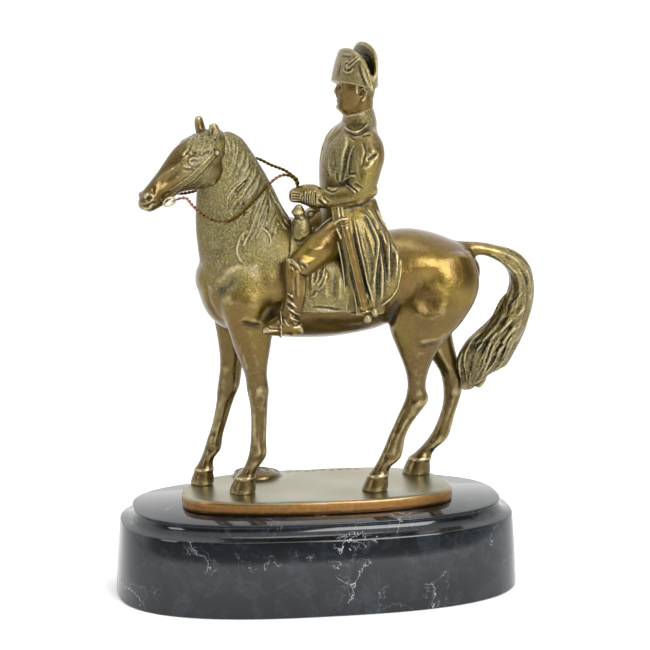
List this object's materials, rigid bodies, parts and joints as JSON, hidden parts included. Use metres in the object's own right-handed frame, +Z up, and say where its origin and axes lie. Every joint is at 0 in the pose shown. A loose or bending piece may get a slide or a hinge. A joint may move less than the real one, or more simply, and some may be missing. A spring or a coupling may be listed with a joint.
{
  "type": "equestrian statuette",
  "caption": "Cast bronze statuette of a rider in a two-pointed hat and long coat on a standing horse, on an oval polished marble plinth.",
  "frame": {"origin": "centre of the plinth's flat underside, where it stands on the table", "axes": "+Z up; the horse faces -X; its left side faces -Y"},
  "size_m": [0.2107, 0.1116, 0.2696],
  "materials": {
    "marble": "polished black marble with fine white veins",
    "bronze": "cast bronze, golden brown patina rubbed bright on the high places",
    "rein_wire": "twisted two-strand wire, toned copper brown"
  },
  "bodies": {
    "root": {"marble_plinth": "marble", "bronze_horse_and_rider": "bronze", "rein_left": "rein_wire", "rein_right": "rein_wire"}
  },
  "joints": []
}
